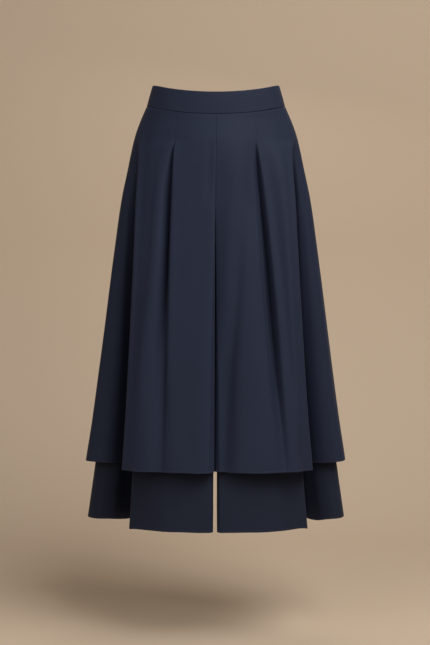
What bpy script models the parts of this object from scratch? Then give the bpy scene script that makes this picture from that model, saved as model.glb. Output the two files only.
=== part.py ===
"""Double-layer culottes in their worn shape, hollow: an outer layer over a longer one, on one waistband.

Millimetres inside, metres in the meshes. +Z is up, the front faces -Y and the wearer's left leg is at +X.
The origin is the centre of the waist ring at half the waistband's height.
Every panel is a wall whose outer face runs through a few stations: each station starts on the waist line
at its own angle, follows the body, and from its release down it moves over to its own place in the hem.
"""

import math

import bmesh
import bpy
import numpy as np

MM = 0.001
RIGHT, LEFT = -1, 1

# Cloth and seams
WALL = 1.2
HALF_SEAM = 0.15
SEAM = 0.3

# Waistband
BAND_HEIGHT = 42.2
FRONT_RISE = 1.4
BAND_WALL = 3.2
BAND_PROUD = 0.6
BAND_LEAN = {"side": 11.5, "front": 4.0, "back": 4.0}
SIDE_SEAM_TOP = -21.1
FRONT_DIP = 31.5
DIP_POWER = 1.4

# Hems and centre-back opening
HEM = {"outer": -726.2, "under": -838.0}
ZIP_END = -183.0
HALF_ZIP_GAP = 0.6

# The body of each layer by height: half width at the sides, depth of the front and of the back
BODY_COLUMNS = ("z", "outer_side", "under_side", "outer_front", "under_front", "outer_back", "under_back")
BODY = (
    (-21.1, 136.8, 134.8, 92.0, 90.0, 88.0, 83.0),
    (-50.0, 149.8, 146.2, 92.6, 90.0, 95.0, 88.0),
    (-78.0, 160.0, 155.0, 99.0, 90.0, 101.0, 93.0),
    (-105.0, 166.9, 160.8, 107.0, 89.0, 107.0, 98.0),
    (-148.0, 176.0, 168.8, 113.0, 87.0, 114.0, 104.0),
    (-205.0, 188.0, 179.3, 119.0, 84.5, 121.0, 110.0),
    (-305.0, 202.4, 191.8, 131.0, 87.0, 130.0, 117.0),
    (-638.0, 245.9, 229.5, 173.6, 138.0, 162.4, 140.7),
    (-726.2, 259.2, 240.8, 185.0, 152.0, 171.0, 147.0),
    (-838.0, 274.0, 256.8, 199.0, 163.0, 182.0, 155.0),
)

# Stations from the centre to the side seam. Angle is round the waist from the centre, widen is the share of
# the hip's widening that the station takes, then its place in the hem on the right and left leg and how deep.
STATION_COLUMNS = ("name", "angle", "widen", "hem_right", "hem_left", "hem_y", "round", "steps")
STATIONS = {
    ("outer", "front"): (
        ("centre", 0.0, 0.0, 0.0, 0.0, -184.0, 0.0, 2),
        ("inner", 17.0, 0.0, 50.0, 60.0, -181.0, 0.0, 2),
        ("pleat", 34.5, 0.0, 103.0, 129.0, -168.0, 0.0, 2),
        ("outer", 52.0, 0.4, 146.0, 160.0, -153.0, 0.0, 2),
        ("edge", 70.0, 0.75, 176.0, 181.0, -131.0, 9.0, 3),
        ("root", 73.0, 0.8, 172.0, 176.0, 2.0, 8.0, 2),
        ("side", 78.0, 0.88, 203.0, 205.0, -29.0, 0.0, 2),
        ("hip", 84.0, 0.96, 238.0, 238.0, -24.0, 0.0, 2),
        ("seam", 90.0, 1.0, 259.2, 259.2, 20.0, 0.0, 0),
    ),
    ("outer", "back"): (
        ("centre", 0.0, 0.0, 0.0, 0.0, 171.0, 0.0, 2),
        ("inner", 17.0, 0.05, 62.0, 60.0, 169.0, 0.0, 2),
        ("middle", 36.0, 0.2, 118.0, 121.0, 157.0, 0.0, 3),
        ("edge", 68.0, 0.7, 171.0, 174.0, 127.0, 9.0, 3),
        ("root", 72.0, 0.8, 176.0, 178.0, 62.0, 8.0, 2),
        ("side", 78.0, 0.88, 208.0, 208.0, 58.0, 0.0, 2),
        ("hip", 84.0, 0.96, 240.0, 240.0, 45.0, 0.0, 2),
        ("seam", 90.0, 1.0, 259.2, 259.2, 20.0, 0.0, 0),
    ),
    ("under", "front"): (
        ("centre", 0.0, 0.0, 0.0, 0.0, -163.0, 0.0, 1),
        ("inner", 20.0, 0.0, 55.0, 55.0, -161.0, 0.0, 3),
        ("outer", 46.0, 0.3, 118.0, 124.0, -142.0, 0.0, 3),
        ("edge", 70.0, 0.75, 164.0, 173.0, -107.0, 9.0, 3),
        ("root", 73.0, 0.8, 162.0, 167.0, 26.0, 8.0, 2),
        ("side", 78.0, 0.88, 208.0, 210.0, -12.0, 0.0, 2),
        ("hip", 84.0, 0.96, 236.0, 238.0, -10.0, 0.0, 2),
        ("seam", 90.0, 1.0, 256.8, 256.8, 19.0, 0.0, 0),
    ),
    ("under", "back"): (
        ("centre", 0.0, 0.0, 0.0, 0.0, 154.0, 0.0, 1),
        ("inner", 20.0, 0.05, 60.0, 60.0, 151.0, 0.0, 3),
        ("middle", 40.0, 0.25, 114.0, 114.0, 138.0, 0.0, 3),
        ("edge", 68.0, 0.7, 158.0, 160.0, 108.0, 9.0, 3),
        ("root", 72.0, 0.8, 164.0, 165.0, 46.0, 8.0, 2),
        ("side", 78.0, 0.88, 203.0, 203.0, 43.0, 0.0, 2),
        ("hip", 84.0, 0.96, 237.0, 237.0, 36.0, 0.0, 2),
        ("seam", 90.0, 1.0, 256.8, 256.8, 19.0, 0.0, 0),
    ),
}

# From here down a station moves to its hem place, and a power under 1 moves it early
RELEASE = {"pleat": -105.0, "other": -98.0}
RELEASE_POWER = {("pleat", RIGHT): 0.36, ("pleat", LEFT): 0.88, ("other", RIGHT): 0.62, ("other", LEFT): 0.45}

# These stations of the outer front come forward earlier than they move across
EARLY = {"outer": 1.8, "edge": 1.8}

# Inverted pleat: places across it in half widths, with how far in each lies as a share of the
# depth. The crisp side is nearer the centre on the right leg and further out on the left leg.
CRISP_HALF = ((0.3, 0.75), (0.85, 0.1), (1.3, -0.05), (2.6, 0.0))
SOFT_HALF = ((0.5, 0.84), (1.1, 0.46), (1.9, 0.08), (2.8, 0.0))
PLEAT_COLUMNS = ("z", "half_width", "depth_right", "depth_left")
PLEAT = (
    (-20.0, 1.2, 0.3, 0.3),
    (-98.0, 1.3, 0.5, 0.5),
    (-108.0, 1.7, 2.6, 0.8),
    (-120.0, 2.6, 6.5, 4.5),
    (-158.0, 5.0, 13.0, 12.5),
    (-228.0, 7.0, 19.0, 18.0),
    (-328.0, 8.0, 22.0, 22.0),
    (-428.0, 8.8, 18.0, 23.0),
    (-528.0, 9.2, 10.0, 19.0),
    (-628.0, 9.6, 4.0, 9.0),
    (-726.2, 10.0, 1.0, 3.0),
)

# How far the outer front lies back at the centre line, where the left leg rolls in under the right leg's edge
ROLL_COLUMNS = ("z", "right", "left")
ROLL = (
    (-90.0, 0.0, 0.0),
    (-150.0, 1.6, 1.6),
    (-190.0, 3.6, 3.6),
    (-223.0, 4.8, 4.8),
    (-260.0, 2.0, 7.5),
    (-330.0, 2.0, 12.0),
    (-450.0, 5.0, 17.0),
    (-600.0, 7.0, 19.0),
    (-726.2, 8.0, 19.0),
)

# Crotch seam, a J from where it leaves the centre seam to the crotch point, and the faces between the legs
CROTCH = {
    "outer": {"front": -223.0, "back": -203.0, "point": -290.0, "y": 8.0},
    "under": {"front": -211.0, "back": -191.0, "point": -277.0, "y": 8.0},
}
LEG_CLEAR = {"outer": 0.0, "under": 3.0}
LEG_HEM = {("outer", RIGHT): 3.7, ("outer", LEFT): -3.5, ("under", RIGHT): 5.6, ("under", LEFT): 1.8}
LEG_POWER = {"outer": 0.4, "under": 1.0}
LEG_SWAY = {"outer": 1.2, "under": 0.0}
CLEAR_BY = 0.03
CORNER = 9.0
CORNER_POWER = 0.8
# Columns of a leg's inner face: angle along the J, and in the hem the shares of the corner's radius still to go
# across, of the radius gone in depth, of the way on to the inseam and of the sway that both legs share
INNER_COLUMNS = (
    (16.0, 0.29, 0.29, 0.0, 0.0),
    (34.0, 0.0, 1.0, 0.0, 0.0),
    (60.0, 0.0, 1.0, 0.5, 1.0),
    (90.0, 0.0, 1.0, 1.0, 0.0),
)

UPPER_ROWS = (0.0, 0.12, 0.27, 0.42, 0.5, 0.7, 1.0)
LOWER_ROWS = (0.0, CLEAR_BY, 0.1, 0.2, 0.32, 0.46, 0.61, 0.76, 0.89, 1.0)

# Zip
TAPE = {"half_width": 11.0, "wall": 1.0, "clear": 0.9, "top": 16.0, "below_end": 6.0, "steps": 4, "rows": 20}
SLIDER = {"z": 11.0, "half_width": 2.3, "half_height": 4.5, "depth": 2.2}
NECK = {"half_width": 0.3, "half_height": 3.0}
CHEEK = {"inside": 0.9, "outside": 1.9, "half_height": 1.4, "reach": 5.4}
PIN = {"radius": 0.55, "out": 4.2}
PULL = {"ring": 1.5, "hole": 0.9, "half_ring": 0.6, "neck": 3.4, "length": 24.0, "half_width": 2.8, "wall": 1.0}

COLOURS = {
    "outer": ((0.026, 0.032, 0.058), 0.72, 0.0),
    "under": ((0.022, 0.026, 0.047), 0.74, 0.0),
    "band": ((0.028, 0.034, 0.06), 0.7, 0.0),
    "tape": ((0.02, 0.024, 0.045), 0.8, 0.0),
    "metal": ((0.05, 0.06, 0.1), 0.35, 0.8),
}


def clear_scene():
    for obj in list(bpy.data.objects):
        bpy.data.objects.remove(obj, do_unlink=True)


def smooth(rows, names, key, z):
    """The column named key at heights z, through the rows as a curve that never overshoots them."""
    table = np.array(rows, float)[::-1]
    x, y = table[:, 0], table[:, names.index(key)]
    step = np.diff(x)
    slope = np.diff(y) / step
    tangent = np.concatenate([[slope[0]], np.zeros(len(slope) - 1), [slope[-1]]])
    same = slope[:-1] * slope[1:] > 0
    tangent[1:-1][same] = 2 * slope[:-1][same] * slope[1:][same] / (slope[:-1] + slope[1:])[same]
    z = np.clip(np.asarray(z, float), x[0], x[-1])
    at = np.clip(np.searchsorted(x, z, side="right") - 1, 0, len(step) - 1)
    t = (z - x[at]) / step[at]
    return (
        (1 + 2 * t) * (1 - t) ** 2 * y[at]
        + t * (1 - t) ** 2 * step[at] * tangent[at]
        + t * t * (3 - 2 * t) * y[at + 1]
        + t * t * (t - 1) * step[at] * tangent[at + 1]
    )


def seam_height(panel, angle):
    """Height of the waist seam, which dips at the centre front."""
    dip = FRONT_DIP if panel == "front" else 0.0
    return SIDE_SEAM_TOP - dip * np.maximum(np.cos(np.radians(angle)), 0.0) ** DIP_POWER


def leg_share(layer, panel, z):
    """How far down the leg a height lies, from the start of the crotch seam to the hem."""
    start = CROTCH[layer][panel]
    return np.clip((start - z) / (start - HEM[layer]), 0.0, 1.0)


def face_gap(layer, side, share):
    """Distance of a leg's inner face from the middle plane."""
    clear = LEG_CLEAR[layer]
    opened = clear * np.minimum(share / CLEAR_BY, 1.0)
    return HALF_SEAM + opened + (LEG_HEM[layer, side] - clear) * share ** LEG_POWER[layer]


def centre_x(layer, panel, side, z):
    """The panel's edge at the centre seam, and below the crotch seam the front of the leg's rounded corner."""
    share = leg_share(layer, panel, z)
    gap = face_gap(layer, side, share) + CORNER * share**CORNER_POWER
    if panel == "back":
        gap = np.where(z > ZIP_END, HALF_ZIP_GAP, gap)
    return gap


def body_point(layer, panel, angle, widen, z):
    """A station on the body, before any hem fullness: across from the middle, and depth."""
    top = BODY[0][BODY_COLUMNS.index(layer + "_side")]
    half = smooth(BODY, BODY_COLUMNS, layer + "_side", z)
    depth = smooth(BODY, BODY_COLUMNS, layer + "_" + panel, z)
    turn = math.radians(angle)
    facing = -1 if panel == "front" else 1
    return np.stack([top * math.sin(turn) + widen * (half - top), facing * depth * math.cos(turn)], axis=-1)


def station_points(layer, panel, side, station, z):
    """Where a station lies at heights z, as (across, y), across being positive on both legs."""
    row = dict(zip(STATION_COLUMNS, station))
    points = body_point(layer, panel, row["angle"], row["widen"], z)
    if row["name"] == "centre":
        points[:, 0] = centre_x(layer, panel, side, z)
        hem_across = points[-1, 0]
    else:
        hem_across = row["hem_right"] if side == RIGHT else row["hem_left"]
    kind = "pleat" if row["name"] == "pleat" else "other"
    release = RELEASE[kind]
    share = np.clip((release - z) / (release - HEM[layer]), 0.0, 1.0) ** RELEASE_POWER[kind, side]
    hem = body_point(layer, panel, row["angle"], row["widen"], np.array([HEM[layer]]))[0]
    if row["name"] == "seam":
        share = (SIDE_SEAM_TOP - z) / (SIDE_SEAM_TOP - HEM[layer])
    early = EARLY.get(row["name"], 1.0) if (layer, panel) == ("outer", "front") else 1.0
    points[:, 1] += (1 - (1 - share) ** early) * (row["hem_y"] - hem[1])
    if row["name"] != "centre":
        points[:, 0] += share * (hem_across - hem[0])
    return points


def unit(vectors):
    return vectors / np.maximum(np.linalg.norm(vectors, axis=-1, keepdims=True), 1e-9)


def pleat_section(side):
    """The pleat's section from the centre outwards, as places across in half widths and shares of the depth."""
    inner, outer = (CRISP_HALF, SOFT_HALF) if side == RIGHT else (SOFT_HALF, CRISP_HALF)
    return [(-across, share) for across, share in inner[::-1]] + [(0.0, 1.0)] + list(outer)


def expanded(layer, panel, side, z):
    """The section's points at heights z, folds rounded and the pleat put in, and the steps between them."""
    rows = STATIONS[layer, panel]
    places = [station_points(layer, panel, side, row, z) for row in rows]
    points, steps = [], []
    outward = 1 if panel == "front" else -1
    for i, station in enumerate(rows):
        row = dict(zip(STATION_COLUMNS, station))
        if row["name"] == "pleat":
            along = unit(places[i + 1] - places[i - 1])
            inward = np.stack([-along[:, 1], along[:, 0]], axis=-1) * outward
            half = smooth(PLEAT, PLEAT_COLUMNS, "half_width", z)[:, None]
            depth = smooth(PLEAT, PLEAT_COLUMNS, "depth_right" if side == RIGHT else "depth_left", z)[:, None]
            section = pleat_section(side)
            for k, (across, share) in enumerate(section):
                points.append(places[i] + along * across * half + inward * share * depth)
                steps.append(row["steps"] if k == len(section) - 1 else 1)
        elif row["round"]:
            before, after = places[i - 1] - places[i], places[i + 1] - places[i]
            for k, to in enumerate((before, None, after)):
                move = 0.0
                if to is not None:
                    length = np.linalg.norm(to, axis=1, keepdims=True)
                    move = unit(to) * np.minimum(row["round"], 0.3 * length)
                points.append(places[i] + move)
                steps.append(row["steps"] if k == 2 else 1)
        else:
            points.append(places[i])
            steps.append(row["steps"])
    return np.array(points), steps


def along_section(points, k, t):
    """The smooth curve through the section's points, a share t along the stretch after point k."""
    last = len(points) - 1
    stretch = points[k + 1] - points[k]
    length = np.linalg.norm(stretch, axis=-1, keepdims=True)
    ends = []
    for j in (k, k + 1):
        if j == 0:
            ends.append(np.broadcast_to(np.array([1.0, 0.0]), stretch.shape))
            continue
        if j == last:
            towards = np.sign(points[last][-1, 1] - points[last - 1][-1, 1])
            ends.append(np.broadcast_to(np.array([0.0, towards]), stretch.shape))
            continue
        into, out = points[j] - points[j - 1], points[j + 1] - points[j]
        a = np.linalg.norm(into, axis=-1, keepdims=True)
        b = np.linalg.norm(out, axis=-1, keepdims=True)
        ends.append(unit(unit(into) * b + unit(out) * a))
    h = (1 + 2 * t) * (1 - t) ** 2, t * (1 - t) ** 2, t * t * (3 - 2 * t), t * t * (t - 1)
    return h[0] * points[k] + h[1] * length * ends[0] + h[2] * points[k + 1] + h[3] * length * ends[1]


def centre_roll(layer, panel, side, z):
    """How far the panel lies back at the centre line."""
    if (layer, panel) != ("outer", "front"):
        return 0.0
    return smooth(ROLL, ROLL_COLUMNS, "right" if side == RIGHT else "left", z)


def main_columns(layer, panel, side):
    """Columns from the side seam to the centre: each holds its heights and its places across and in depth."""
    start = CROTCH[layer][panel]
    waist, steps = expanded(layer, panel, side, np.array([SIDE_SEAM_TOP]))
    half, depth = BODY[0][BODY_COLUMNS.index(layer + "_side")], BODY[0][BODY_COLUMNS.index(layer + "_" + panel)]
    columns = []
    for k in range(len(waist) - 1):
        for step in range(steps[k]):
            columns.append((k, step / steps[k]))
    columns.append((len(waist) - 2, 1.0))
    made = []
    for k, t in columns:
        at_waist = along_section(waist, k, t)[0]
        angle = math.degrees(math.atan2(at_waist[0] / half, abs(at_waist[1]) / depth))
        top = seam_height(panel, angle) - SEAM
        upper = [top + (start - top) * share for share in UPPER_ROWS]
        lower = [start + (HEM[layer] - start) * share for share in LOWER_ROWS[1:]]
        z = np.array(upper + lower)
        points, _ = expanded(layer, panel, side, z)
        place = along_section(points, k, t)
        if (k, t) == columns[-1]:
            place[:, 1] += HALF_SEAM * (-1 if panel == "front" else 1)
        if (k, t) == columns[0]:
            place[:, 1] += centre_roll(layer, panel, side, z)
        made.append(np.column_stack([place, z]))
    return made[::-1]


def inner_columns(layer, panel, side, centre):
    """Columns of the leg's inner face, from the rounded corner to the inseam, hung from the crotch seam."""
    crotch = CROTCH[layer]
    start, facing = crotch[panel], -1 if panel == "front" else 1
    share = np.array(LOWER_ROWS)
    front = centre[len(UPPER_ROWS) - 1 :]
    inseam = crotch["y"] + facing * HALF_SEAM
    reach_top, reach_hem = abs(front[0, 1] - inseam), abs(front[-1, 1] - inseam)
    made = []
    for angle, across, round_share, way, sway in INNER_COLUMNS:
        turn = math.radians(angle)
        z_top = start + (crotch["point"] - start) * math.sin(turn)
        z = z_top + (HEM[layer] - z_top) * share
        depth_top = reach_top * (1 - math.cos(turn))
        depth_hem = CORNER * round_share + (reach_hem - CORNER) * way
        y = front[:, 1] - facing * (depth_top + (depth_hem - depth_top) * share)
        if way == 1.0:
            y = np.full(len(share), inseam)
        x = face_gap(layer, side, share) + CORNER * across * share**CORNER_POWER
        x += side * LEG_SWAY[layer] * sway * np.minimum(share / CLEAR_BY, 1.0)
        made.append(np.column_stack([x, y, z]))
    return made


def outward_normals(row, facing, last):
    """Level normals along one row of points, squared up at both ends so that the seams meet."""
    flow = unit(np.diff(row[:, :2], axis=0))
    sideways = np.stack([flow[:, 1], -flow[:, 0]], axis=-1) * facing
    normals = np.empty((len(row), 2))
    for i in range(1, len(row) - 1):
        mean = unit(sideways[i - 1] + sideways[i])
        normals[i] = mean / max(float(mean @ sideways[i]), 0.75)
    normals[0] = (1.0, 0.0)
    normals[-1] = last
    return normals


def wall_mesh(name, rows, wall, normals):
    """A closed wall: rows of outer points, each row as long as it is, the inner points one wall further in."""
    bm = bmesh.new()
    outer, inner = [], []
    for row, normal in zip(rows, normals):
        outer.append([bm.verts.new(p * MM) for p in row])
        level = np.column_stack([normal, np.zeros(len(normal))])
        inner.append([bm.verts.new(p * MM) for p in row - wall * level])
    for sheet, turn in ((outer, False), (inner, True)):
        for a, b in zip(sheet, sheet[1:]):
            for i in range(min(len(a), len(b)) - 1):
                corners = (a[i], a[i + 1], b[i + 1], b[i])
                for face in ((corners[0], corners[1], corners[2]), (corners[0], corners[2], corners[3])):
                    bm.faces.new(face[::-1] if turn else face)
    rim = [edge for edge in bm.edges if edge.is_boundary]
    across = {}
    for a, b in zip(outer, inner):
        across.update(zip(a, b))
    for edge in rim:
        if edge.verts[0] not in across:
            continue
        loop = edge.link_loops[0]
        first, second = loop.vert, loop.link_loop_next.vert
        bm.faces.new((second, first, across[first]))
        bm.faces.new((second, across[first], across[second]))
    return finished(name, bm)


def finished(name, bm):
    """The mesh of bm, faces turned outwards."""
    if bm.calc_volume(signed=True) < 0:
        bmesh.ops.reverse_faces(bm, faces=bm.faces)
    mesh = bpy.data.meshes.new(name)
    bm.to_mesh(mesh)
    bm.free()
    return mesh


def cloth_material(name, look):
    colour, roughness, metallic = COLOURS[look]
    material = bpy.data.materials.new(name)
    material.use_nodes = True
    shader = material.node_tree.nodes["Principled BSDF"]
    shader.inputs["Base Color"].default_value = (*colour, 1.0)
    shader.inputs["Roughness"].default_value = roughness
    shader.inputs["Metallic"].default_value = metallic
    material.diffuse_color = (*colour, 1.0)
    return material


def add(name, mesh, look):
    obj = bpy.data.objects.new(name, mesh)
    bpy.context.collection.objects.link(obj)
    mesh.materials.append(cloth_material(name, look))
    mesh.shade_smooth()
    mesh.set_sharp_from_angle(angle=math.radians(40))
    return obj


def leg_panel(layer, panel, side):
    """One cut panel of a leg: from waist seam to hem and from side seam round to the inseam."""
    facing = -1 if panel == "front" else 1
    columns = main_columns(layer, panel, side)
    inner = inner_columns(layer, panel, side, columns[-1])
    rows, normals = [], []
    first_lower = len(UPPER_ROWS) - 1
    for i in range(len(columns[0])):
        row = [column[i] for column in columns]
        if i >= first_lower:
            row += [column[i - first_lower] for column in inner]
        row = np.array(row)
        last = (0.0, facing) if i < first_lower else (-1.0, 0.0)
        normal = outward_normals(row, facing, last)
        rows.append(row * (side, 1, 1))
        normals.append(normal * (side, 1))
    name = f"{layer}_{panel}_{'right' if side == RIGHT else 'left'}"
    return add(name, wall_mesh(name, rows, WALL, normals), layer)


def band_radius(panel, up):
    """Half width and depth of the waistband's outer face, a share up from its lower edge."""
    side = BODY[0][BODY_COLUMNS.index("outer_side")] + BAND_PROUD - BAND_LEAN["side"] * up
    depth = BODY[0][BODY_COLUMNS.index("outer_" + panel)] + BAND_PROUD - BAND_LEAN[panel] * up
    return side, depth


def band(name, panel, first, last, steps):
    """A piece of the waistband between two angles, measured from the centre and positive on the left side."""
    facing = -1 if panel == "front" else 1
    rows, normals = [], []
    for up in (1.0, 0.5, 0.0):
        side, depth = band_radius(panel, up)
        row, normal = [], []
        for i in range(steps + 1):
            angle = first + (last - first) * i / steps
            turn = math.radians(angle)
            taller = FRONT_RISE * math.cos(turn) if panel == "front" else 0.0
            z = seam_height(panel, abs(angle)) + (BAND_HEIGHT + taller) * up
            row.append((side * math.sin(turn), facing * depth * math.cos(turn), z))
            normal.append(unit(np.array([math.sin(turn) / side, facing * math.cos(turn) / depth])))
        row, normal = np.array(row), np.array(normal)
        for end, angle in ((0, first), (-1, last)):
            if abs(angle) == 90.0:
                row[end, 1] = facing * HALF_SEAM
                normal[end] = (math.copysign(1, angle), 0.0)
            else:
                row[end, 0] = math.copysign(HALF_ZIP_GAP, first + last)
                normal[end] = (0.0, facing)
        rows.append(row)
        normals.append(normal)
    return add(name, wall_mesh(name, rows, BAND_WALL, normals), "band")


def tape_depth(z):
    """Depth of the zip tape's outer face: just inside the waistband, and lower down inside the back panels."""
    panels = smooth(BODY, BODY_COLUMNS, "outer_back", np.array([z]))[0] - WALL - TAPE["clear"]
    up = (z - SIDE_SEAM_TOP) / BAND_HEIGHT
    if up < -0.15:
        return panels
    return min(band_radius("back", max(up, 0.0))[1] - BAND_WALL - SEAM, panels)


def zip_tape():
    """Both tapes of the closed zip as one strip behind the centre-back opening."""
    rows, normals = [], []
    for i in range(TAPE["rows"] + 1):
        z = TAPE["top"] + (ZIP_END - TAPE["below_end"] - TAPE["top"]) * i / TAPE["rows"]
        half = BODY[0][1]
        row, normal = [], []
        for k in range(TAPE["steps"] + 1):
            x = TAPE["half_width"] * (2 * k / TAPE["steps"] - 1)
            row.append((x, tape_depth(z) * math.sqrt(1 - (x / half) ** 2), z))
            normal.append((0.0, 1.0))
        rows.append(np.array(row))
        normals.append(np.array(normal))
    return add("zip_tape", wall_mesh("zip_tape", rows, TAPE["wall"], normals), "tape")


def block(bm, low, high):
    """A box between two corners, in millimetres."""
    made = bmesh.ops.create_cube(bm, size=1.0)["verts"]
    size, middle = np.subtract(high, low), np.add(high, low) / 2
    for vert in made:
        vert.co = [c * s * MM + m * MM for c, s, m in zip(vert.co, size, middle)]


def rod(bm, radius, half_length, out, sides=16):
    """A round bar along X, its middle a distance out along Y."""
    ends = []
    for x in (-half_length, half_length):
        ring = []
        for i in range(sides):
            turn = 2 * math.pi * i / sides
            y, z = out + radius * math.cos(turn), radius * math.sin(turn)
            ring.append(bm.verts.new((x * MM, y * MM, z * MM)))
        ends.append(ring)
    bm.faces.new(ends[0])
    bm.faces.new(ends[1][::-1])
    for i in range(sides):
        j = (i + 1) % sides
        bm.faces.new((ends[0][j], ends[0][i], ends[1][i], ends[1][j]))


def helper(name, build):
    """A hidden shape for a Boolean."""
    bm = bmesh.new()
    build(bm)
    obj = bpy.data.objects.new(name, finished(name, bm))
    bpy.context.collection.objects.link(obj)
    obj.hide_render = True
    obj.display_type = "WIRE"
    return obj


def combine(obj, other, operation):
    modifier = obj.modifiers.new(other.name, "BOOLEAN")
    modifier.operation = operation
    modifier.object = other


def slider_place():
    """Where the slider stands on the back of the waistband: depth of the face under it, and the face's lean."""
    depth = band_radius("back", (SLIDER["z"] - SIDE_SEAM_TOP) / BAND_HEIGHT)[1]
    return depth, math.atan2(BAND_LEAN["back"], BAND_HEIGHT)


def on_band(objects):
    """Stands the slider's shapes on the back of the waistband, leaning with it."""
    depth, lean = slider_place()
    for obj in objects:
        obj.location = (0.0, depth * MM, SLIDER["z"] * MM)
        obj.rotation_euler = (lean, 0.0, 0.0)


def on_pin(objects):
    """Hangs the pull's shapes straight down from the slider's pin, which is the pull's joint axis."""
    depth, lean = slider_place()
    y = depth + PIN["out"] * math.cos(lean)
    z = SLIDER["z"] + PIN["out"] * math.sin(lean)
    for obj in objects:
        obj.location = (0.0, y * MM, z * MM)


def zip_slider():
    """Slider body, its neck through the slit and two cheeks that carry the pull's pin."""
    bm = bmesh.new()
    block(
        bm,
        (-SLIDER["half_width"], SEAM, -SLIDER["half_height"]),
        (SLIDER["half_width"], SLIDER["depth"] + SEAM, SLIDER["half_height"]),
    )
    mesh = finished("zip_slider", bm)
    obj = add("zip_slider", mesh, "metal")
    top = SLIDER["depth"] + SEAM
    neck_low = (-NECK["half_width"], -BAND_WALL, -NECK["half_height"])
    neck_high = (NECK["half_width"], top / 2, NECK["half_height"])
    parts = [helper("slider_neck", lambda bm: block(bm, neck_low, neck_high))]
    for side in (RIGHT, LEFT):
        low = (min(side * CHEEK["inside"], side * CHEEK["outside"]), top / 2, -CHEEK["half_height"])
        high = (max(side * CHEEK["inside"], side * CHEEK["outside"]), CHEEK["reach"], CHEEK["half_height"])
        parts.append(helper(f"slider_cheek_{side}", lambda bm, low=low, high=high: block(bm, low, high)))
    half_pin = (CHEEK["inside"] + CHEEK["outside"]) / 2
    parts.append(helper("slider_pin", lambda bm: rod(bm, PIN["radius"], half_pin, PIN["out"])))
    for part in parts:
        combine(obj, part, "UNION")
    on_band([obj, *parts])
    return obj


def pull_plate(bm):
    """The pull's plate: a narrow neck at the ring, widening to a rounded end."""
    outline = [(PULL["half_ring"], -PULL["ring"] * 0.7), (PULL["half_ring"], -PULL["neck"])]
    turn_at = PULL["length"] - PULL["half_width"]
    for i in range(7):
        turn = math.radians(15 * i)
        outline.append((PULL["half_width"] * math.cos(turn), -turn_at - PULL["half_width"] * math.sin(turn)))
    outline += [(-x, z) for x, z in outline[-2::-1]]
    faces = []
    for y in (-PULL["wall"] / 2, PULL["wall"] / 2):
        faces.append([bm.verts.new((x * MM, y * MM, z * MM)) for x, z in outline])
    bm.faces.new(faces[0])
    bm.faces.new(faces[1][::-1])
    for i in range(len(outline)):
        j = (i + 1) % len(outline)
        bm.faces.new((faces[0][j], faces[0][i], faces[1][i], faces[1][j]))


def zip_pull():
    """Pull tab: a ring round the slider's pin and a plate that hangs from it."""
    bm = bmesh.new()
    pull_plate(bm)
    obj = add("zip_pull", finished("zip_pull", bm), "metal")
    ring = helper("pull_ring", lambda bm: rod(bm, PULL["ring"], PULL["half_ring"], 0.0, 20))
    hole = helper("pull_hole", lambda bm: rod(bm, PULL["hole"], PULL["half_ring"] * 2, 0.0, 20))
    combine(obj, ring, "UNION")
    combine(obj, hole, "DIFFERENCE")
    on_pin([obj, ring, hole])
    return obj


def main():
    clear_scene()
    band("waistband_front", "front", -90.0, 90.0, 48)
    band("waistband_back_right", "back", -90.0, 0.0, 22)
    band("waistband_back_left", "back", 0.0, 90.0, 22)
    for layer in ("outer", "under"):
        for panel in ("front", "back"):
            for side in (RIGHT, LEFT):
                leg_panel(layer, panel, side)
    zip_tape()
    zip_slider()
    zip_pull()


main()
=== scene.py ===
import math

import bpy
import numpy as np
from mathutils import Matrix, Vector


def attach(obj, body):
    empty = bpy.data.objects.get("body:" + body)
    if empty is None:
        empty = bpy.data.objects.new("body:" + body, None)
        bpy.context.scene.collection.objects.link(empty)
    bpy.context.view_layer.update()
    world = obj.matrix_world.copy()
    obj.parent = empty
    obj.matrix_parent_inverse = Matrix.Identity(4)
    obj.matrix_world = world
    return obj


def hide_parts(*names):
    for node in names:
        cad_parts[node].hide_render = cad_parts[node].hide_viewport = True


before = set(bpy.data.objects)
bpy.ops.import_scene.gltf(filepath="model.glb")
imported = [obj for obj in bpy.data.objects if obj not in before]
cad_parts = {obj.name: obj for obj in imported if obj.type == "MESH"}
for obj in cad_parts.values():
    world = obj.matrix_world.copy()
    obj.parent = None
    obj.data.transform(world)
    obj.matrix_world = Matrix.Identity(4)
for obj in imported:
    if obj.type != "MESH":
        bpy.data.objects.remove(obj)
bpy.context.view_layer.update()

# Lengths are millimetres until a mesh is made. Right and left are the wearer's, so right is at picture left.
mm = 0.001
fullTurn = 2 * math.pi
right, left = -1, 1
sideWord = {right: "right", left: "left"}

# The worn shape, the same for looks as for the solids
garment = {
    "waistSeam": -21.1,        # height of the waist seam at the sides
    "frontDip": 31.5,          # how far it dips at the centre front
    "dipPower": 1.4,
    "seamGap": 0.08,           # panel to waistband
    "hem": {"outer": -726.2, "under": -838.0},
    "zipEnd": -183.0,
    "halfZipGap": 0.45,
    "legFrom": {"outer": {"front": -223.0, "back": -203.0}, "under": {"front": -211.0, "back": -191.0}},
    "crotch": {"outer": -290.0, "under": -277.0},
    "inseam": 8.0,
    "legClear": {"outer": 0.05, "under": 3.0},
    "legHem": {"outer": {right: 3.7, left: -3.5}, "under": {right: 5.6, left: 1.8}},
    "legPower": {"outer": 0.4, "under": 1.0},
    "legSway": {"outer": 1.2, "under": 0.0},
    "clearBy": 0.03,           # share of the leg over which the parting opens
    "corner": 9.0,             # how far a leg's front turns in to its inner face
    "cornerTurn": 34.0,        # and where that ends along the crotch seam, in degrees
    "cornerPower": 0.8,
    "soften": 0.04,            # share of the leg over which the fullness starts
    "early": {"outer": 1.8, "edge": 1.8},      # these stations of the outer front come forward early
}

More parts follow.
